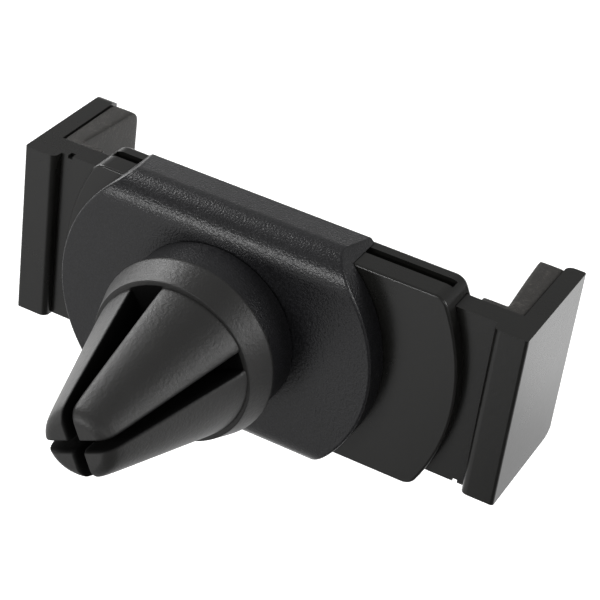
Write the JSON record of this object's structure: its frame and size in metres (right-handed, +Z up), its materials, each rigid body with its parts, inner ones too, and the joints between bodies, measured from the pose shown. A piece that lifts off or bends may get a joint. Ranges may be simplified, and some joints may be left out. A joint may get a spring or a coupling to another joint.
{
  "type": "car phone holder",
  "caption": "Air-vent phone holder: a four-pronged rubber clip carries a cover that turns, a sleeve that slides in it, and two padded jaws that open and close together.",
  "frame": {"origin": "centre of the clip's front face, between the roots of its prongs, where the vent blade comes to rest", "axes": "+X along the jaws, towards the right one; +Y from the vent towards the phone; +Z up"},
  "size_m": [0.0834, 0.0628, 0.0366],
  "materials": {
    "clip_rubber": "satin moulded rubber",
    "core_plastic": "plain moulded",
    "grained_plastic": "fine spark-eroded grain",
    "satin_plastic": "smooth satin",
    "pad_rubber": "matt soft rubber",
    "gear_plastic": "natural low-friction plastic",
    "steel": "zinc-plated",
    "spring_steel": "tempered strip"
  },
  "bodies": {
    "clip": {"vent_clip": "clip_rubber", "clip_core": "core_plastic", "collar": "grained_plastic", "pivot_screw": "steel", "pivot_washer": "steel", "spring_washer": "spring_steel"},
    "cover": {"back_cover": "grained_plastic", "brake_spring_left": "spring_steel", "brake_spring_right": "spring_steel"},
    "sleeve": {"sleeve_back": "satin_plastic", "sleeve_front": "satin_plastic", "sleeve_screw_left": "steel", "sleeve_screw_right": "steel", "pinion_washer": "gear_plastic"},
    "pinion": {"pinion": "gear_plastic"},
    "right_jaw": {"right_jaw": "satin_plastic", "right_pad": "pad_rubber"},
    "left_jaw": {"left_jaw": "satin_plastic", "left_pad": "pad_rubber"}
  },
  "joints": [
    {"name": "cover_turn", "type": "hinge", "parent": "clip", "child": "cover", "pos_m": [0, 0, 0], "axis": [0, 1, 0], "continuous": true},
    {"name": "sleeve_slide", "type": "slide", "parent": "cover", "child": "sleeve", "axis": [1, 0, 0], "range_m": [-0.0145, 0.0052]},
    {"name": "right_jaw_slide", "type": "slide", "parent": "sleeve", "child": "right_jaw", "axis": [1, 0, 0], "range_m": [-0.0013, 0.011]},
    {"name": "left_jaw_slide", "type": "slide", "parent": "sleeve", "child": "left_jaw", "axis": [-1, 0, 0], "range_m": [-0.0013, 0.011]},
    {"name": "pinion_spin", "type": "hinge", "parent": "sleeve", "child": "pinion", "pos_m": [0.00465, 0.0198, 0], "axis": [0, 1, 0], "range_deg": [-12.91, 105.54]}
  ],
  "couplings": [
    {"joint": "left_jaw_slide", "follows": "right_jaw_slide", "ratio": 1},
    {"joint": "pinion_spin", "follows": "right_jaw_slide", "rad_per_m": 166.67}
  ]
}
